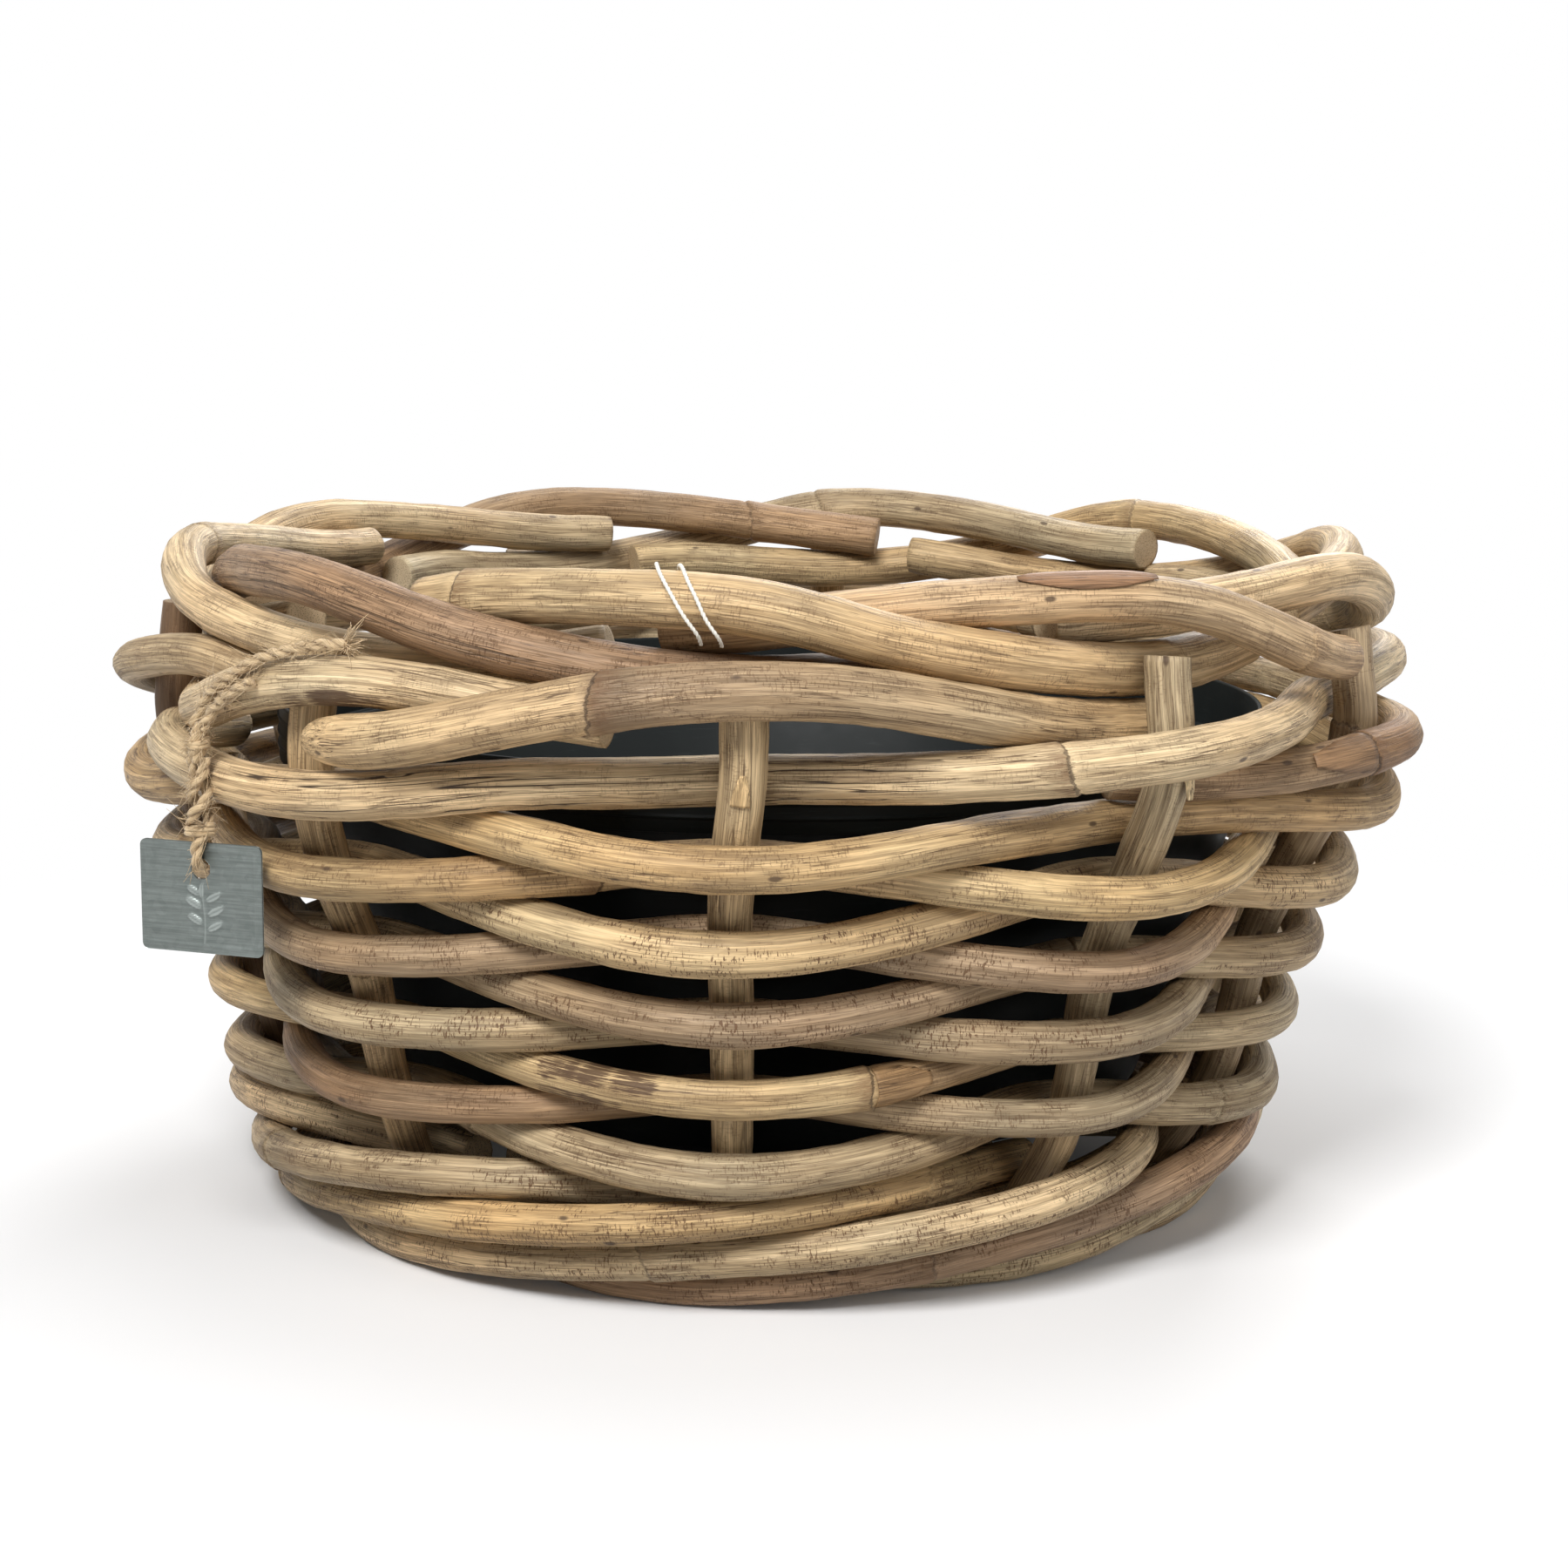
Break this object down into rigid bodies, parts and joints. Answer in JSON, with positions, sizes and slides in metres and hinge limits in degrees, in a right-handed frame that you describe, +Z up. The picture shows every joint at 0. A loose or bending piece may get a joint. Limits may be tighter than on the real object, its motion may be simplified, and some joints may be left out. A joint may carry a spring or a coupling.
{
  "type": "woven rattan planter",
  "caption": "Round woven rattan planter with a twisted border and foot, a dark lift-out plastic liner and a small metal tag on twine.",
  "frame": {"origin": "centre of the bounding box at the floor, under the foot", "axes": "+Z up, front is -Y with the tag at front left, +X to the right"},
  "size_m": [0.4997, 0.5085, 0.2576],
  "materials": {
    "stake_cane": "unpeeled rattan cane, matt, fine grain along its length",
    "side_cane": "unpeeled rattan cane, matt with a slight sheen, brown streaks and specks",
    "border_cane": "unpeeled rattan cane, matt, some canes red-brown",
    "foot_cane": "unpeeled rattan cane, matt, fine grain along its length",
    "base_cane": "rattan cane, matt",
    "liner_plastic": "dark green-black moulded plastic, semi-matt",
    "tag_metal": "galvanised steel sheet, blank, soft sheen",
    "jute_twine": "twisted jute twine, hairy, matt",
    "cotton_thread": "off-white cotton thread, matt"
  },
  "bodies": {
    "basket": {"stake_01": "stake_cane", "stake_02": "stake_cane", "stake_03": "stake_cane", "stake_04": "stake_cane", "stake_05": "stake_cane", "stake_06": "stake_cane", "stake_07": "stake_cane", "stake_08": "stake_cane", "stake_09": "stake_cane", "stake_10": "stake_cane", "weaver_01": "side_cane", "weaver_02": "side_cane", "weaver_03": "side_cane", "weaver_04": "side_cane", "weaver_05": "side_cane", "weaver_06": "side_cane", "weaver_07": "side_cane", "weaver_08": "side_cane", "weaver_09": "side_cane", "weaver_10": "side_cane", "weaver_11": "side_cane", "weaver_12": "side_cane", "border_cane_01": "border_cane", "border_cane_02": "border_cane", "border_cane_03": "border_cane", "border_cane_04": "border_cane", "border_cane_05": "border_cane", "border_cane_06": "border_cane", "border_cane_07": "border_cane", "border_cane_08": "border_cane", "border_cane_09": "border_cane", "border_cane_10": "border_cane", "foot_cane_01": "foot_cane", "foot_cane_02": "foot_cane", "foot_cane_03": "foot_cane", "foot_cane_04": "foot_cane", "foot_cane_05": "foot_cane", "foot_cane_06": "foot_cane", "foot_cane_07": "foot_cane", "foot_cane_08": "foot_cane", "foot_cane_09": "foot_cane", "foot_cane_10": "foot_cane", "base_stick_1": "base_cane", "base_stick_2": "base_cane", "base_stick_3": "base_cane", "base_stick_4": "base_cane", "base_stick_5": "base_cane", "base_stick_6": "base_cane", "base_stick_7": "base_cane", "base_hoop": "base_cane", "twine_long": "jute_twine", "twine_short": "jute_twine", "twine_knot": "jute_twine", "thread_tie": "cotton_thread"},
    "liner": {"liner": "liner_plastic"},
    "tag": {"tag_plate": "tag_metal", "twine_loop": "jute_twine"}
  },
  "joints": [
    {"name": "liner_lift", "type": "slide", "parent": "basket", "child": "liner", "axis": [0, 0, 1], "range_m": [0, 0.26]},
    {"name": "tag_swing", "type": "hinge", "parent": "basket", "child": "tag", "pos_m": [-0.19224, -0.17431, 0.1925], "axis": [-0.6717, 0.7408, 0], "range_deg": [0, 80]}
  ]
}
